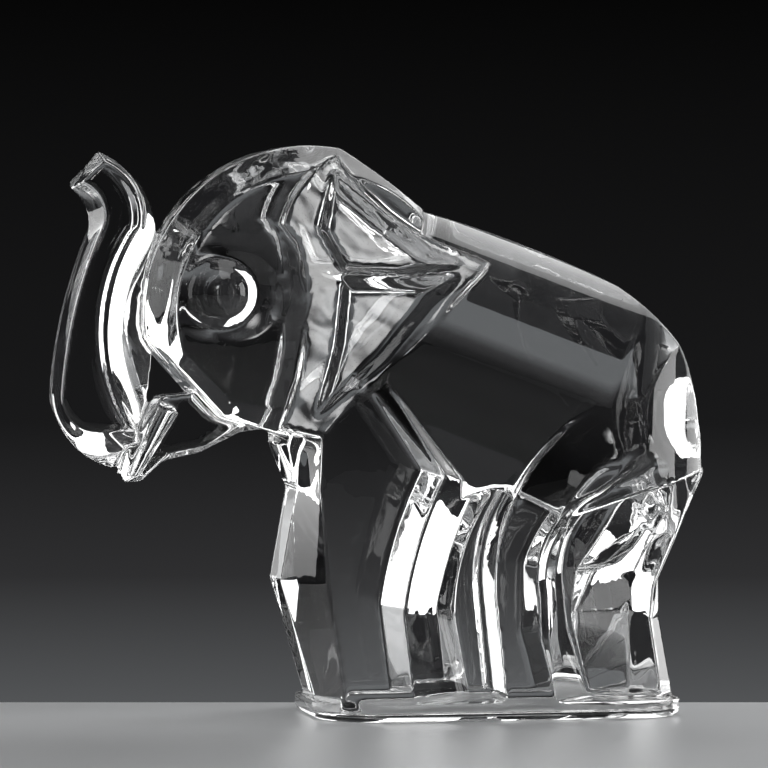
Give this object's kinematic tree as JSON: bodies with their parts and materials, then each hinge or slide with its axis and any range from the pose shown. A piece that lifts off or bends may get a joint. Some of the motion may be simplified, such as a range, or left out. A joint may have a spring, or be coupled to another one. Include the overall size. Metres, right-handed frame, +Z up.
{
  "type": "crystal glass elephant figurine",
  "caption": "Solid clear crystal elephant with a raised trunk, faceted ears and stout striding legs, standing on a low foot slab of the same glass.",
  "frame": {"origin": "on the floor, under the middle of the figurine", "axes": "elephant faces -X, its left side is -Y, +Z is up"},
  "size_m": [0.1659, 0.056, 0.142],
  "materials": {
    "crystal": "fire-polished clear lead crystal"
  },
  "bodies": {
    "root": {"plinth": "crystal", "front_leg_left": "crystal", "front_leg_right": "crystal", "hind_leg_left": "crystal", "hind_leg_right": "crystal", "leg_web": "crystal", "torso": "crystal", "tail": "crystal", "trunk": "crystal", "lower_jaw": "crystal", "ear_left": "crystal", "ear_right": "crystal", "eye_left": "crystal", "eye_right": "crystal", "tusk_left": "crystal", "tusk_right": "crystal", "head": "crystal"}
  },
  "joints": []
}
